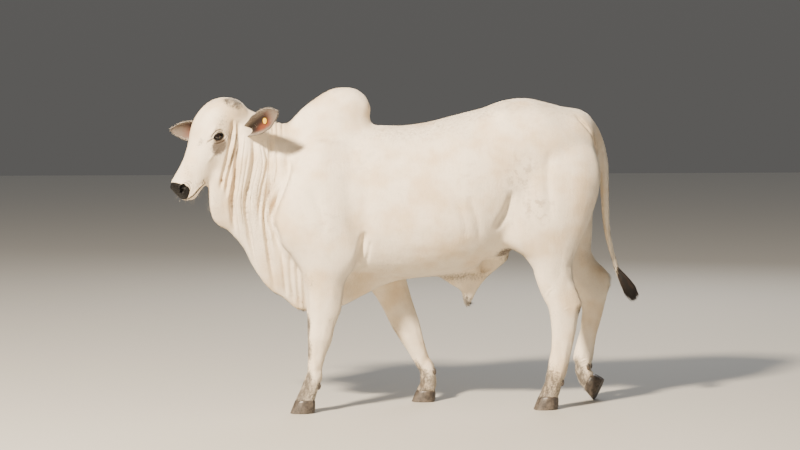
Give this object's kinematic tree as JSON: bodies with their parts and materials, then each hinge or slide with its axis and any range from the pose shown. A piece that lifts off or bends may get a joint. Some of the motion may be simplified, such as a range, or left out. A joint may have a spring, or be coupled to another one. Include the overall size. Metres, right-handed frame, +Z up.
{
  "type": "nelore bull",
  "caption": "Life-size polled Nelore bull in a slow walk, head turned to its left, with hump, dewlap and a blank ear tag.",
  "frame": {"origin": "on the ground, under the middle of the bounding box", "axes": "the bull faces -X, its left side is at -Y, +Z is up"},
  "size_m": [2.3637, 0.6667, 1.602],
  "materials": {
    "coat": "short sleek cream-white hair",
    "dark_skin": "moist grey-black nose leather",
    "ear_skin": "thin pink-brown skin with sparse hair",
    "eye": "wet, dark brown, nearly black",
    "horn": "dull dark hoof horn",
    "dark_hair": "long coarse black hair",
    "tag": "blank yellow moulded button"
  },
  "bodies": {
    "root": {"barrel": "coat", "brisket": "coat", "chest": "coat", "dewlap": "coat", "ear_left": "ear_skin", "ear_right": "ear_skin", "ear_tag": "tag", "eye_left": "eye", "eye_right": "eye", "head": "coat", "hump": "coat", "left_fore_arm": "coat", "left_fore_claw_inner": "horn", "left_fore_claw_outer": "horn", "left_fore_dewclaw_inner": "horn", "left_fore_dewclaw_outer": "horn", "left_fore_shank": "coat", "left_hind_claw_inner": "horn", "left_hind_claw_outer": "horn", "left_hind_dewclaw_inner": "horn", "left_hind_dewclaw_outer": "horn", "left_hind_gaskin": "coat", "left_hind_shank": "coat", "left_hind_thigh": "coat", "neck": "coat", "nose": "dark_skin", "right_fore_arm": "coat", "right_fore_claw_inner": "horn", "right_fore_claw_outer": "horn", "right_fore_dewclaw_inner": "horn", "right_fore_dewclaw_outer": "horn", "right_fore_shank": "coat", "right_hind_claw_inner": "horn", "right_hind_claw_outer": "horn", "right_hind_dewclaw_inner": "horn", "right_hind_dewclaw_outer": "horn", "right_hind_gaskin": "coat", "right_hind_shank": "coat", "right_hind_thigh": "coat", "rump": "coat", "scrotum": "coat", "sheath": "coat", "tail_lower": "coat", "tail_middle": "coat", "tail_switch": "dark_hair", "tail_upper": "coat"}
  },
  "joints": []
}
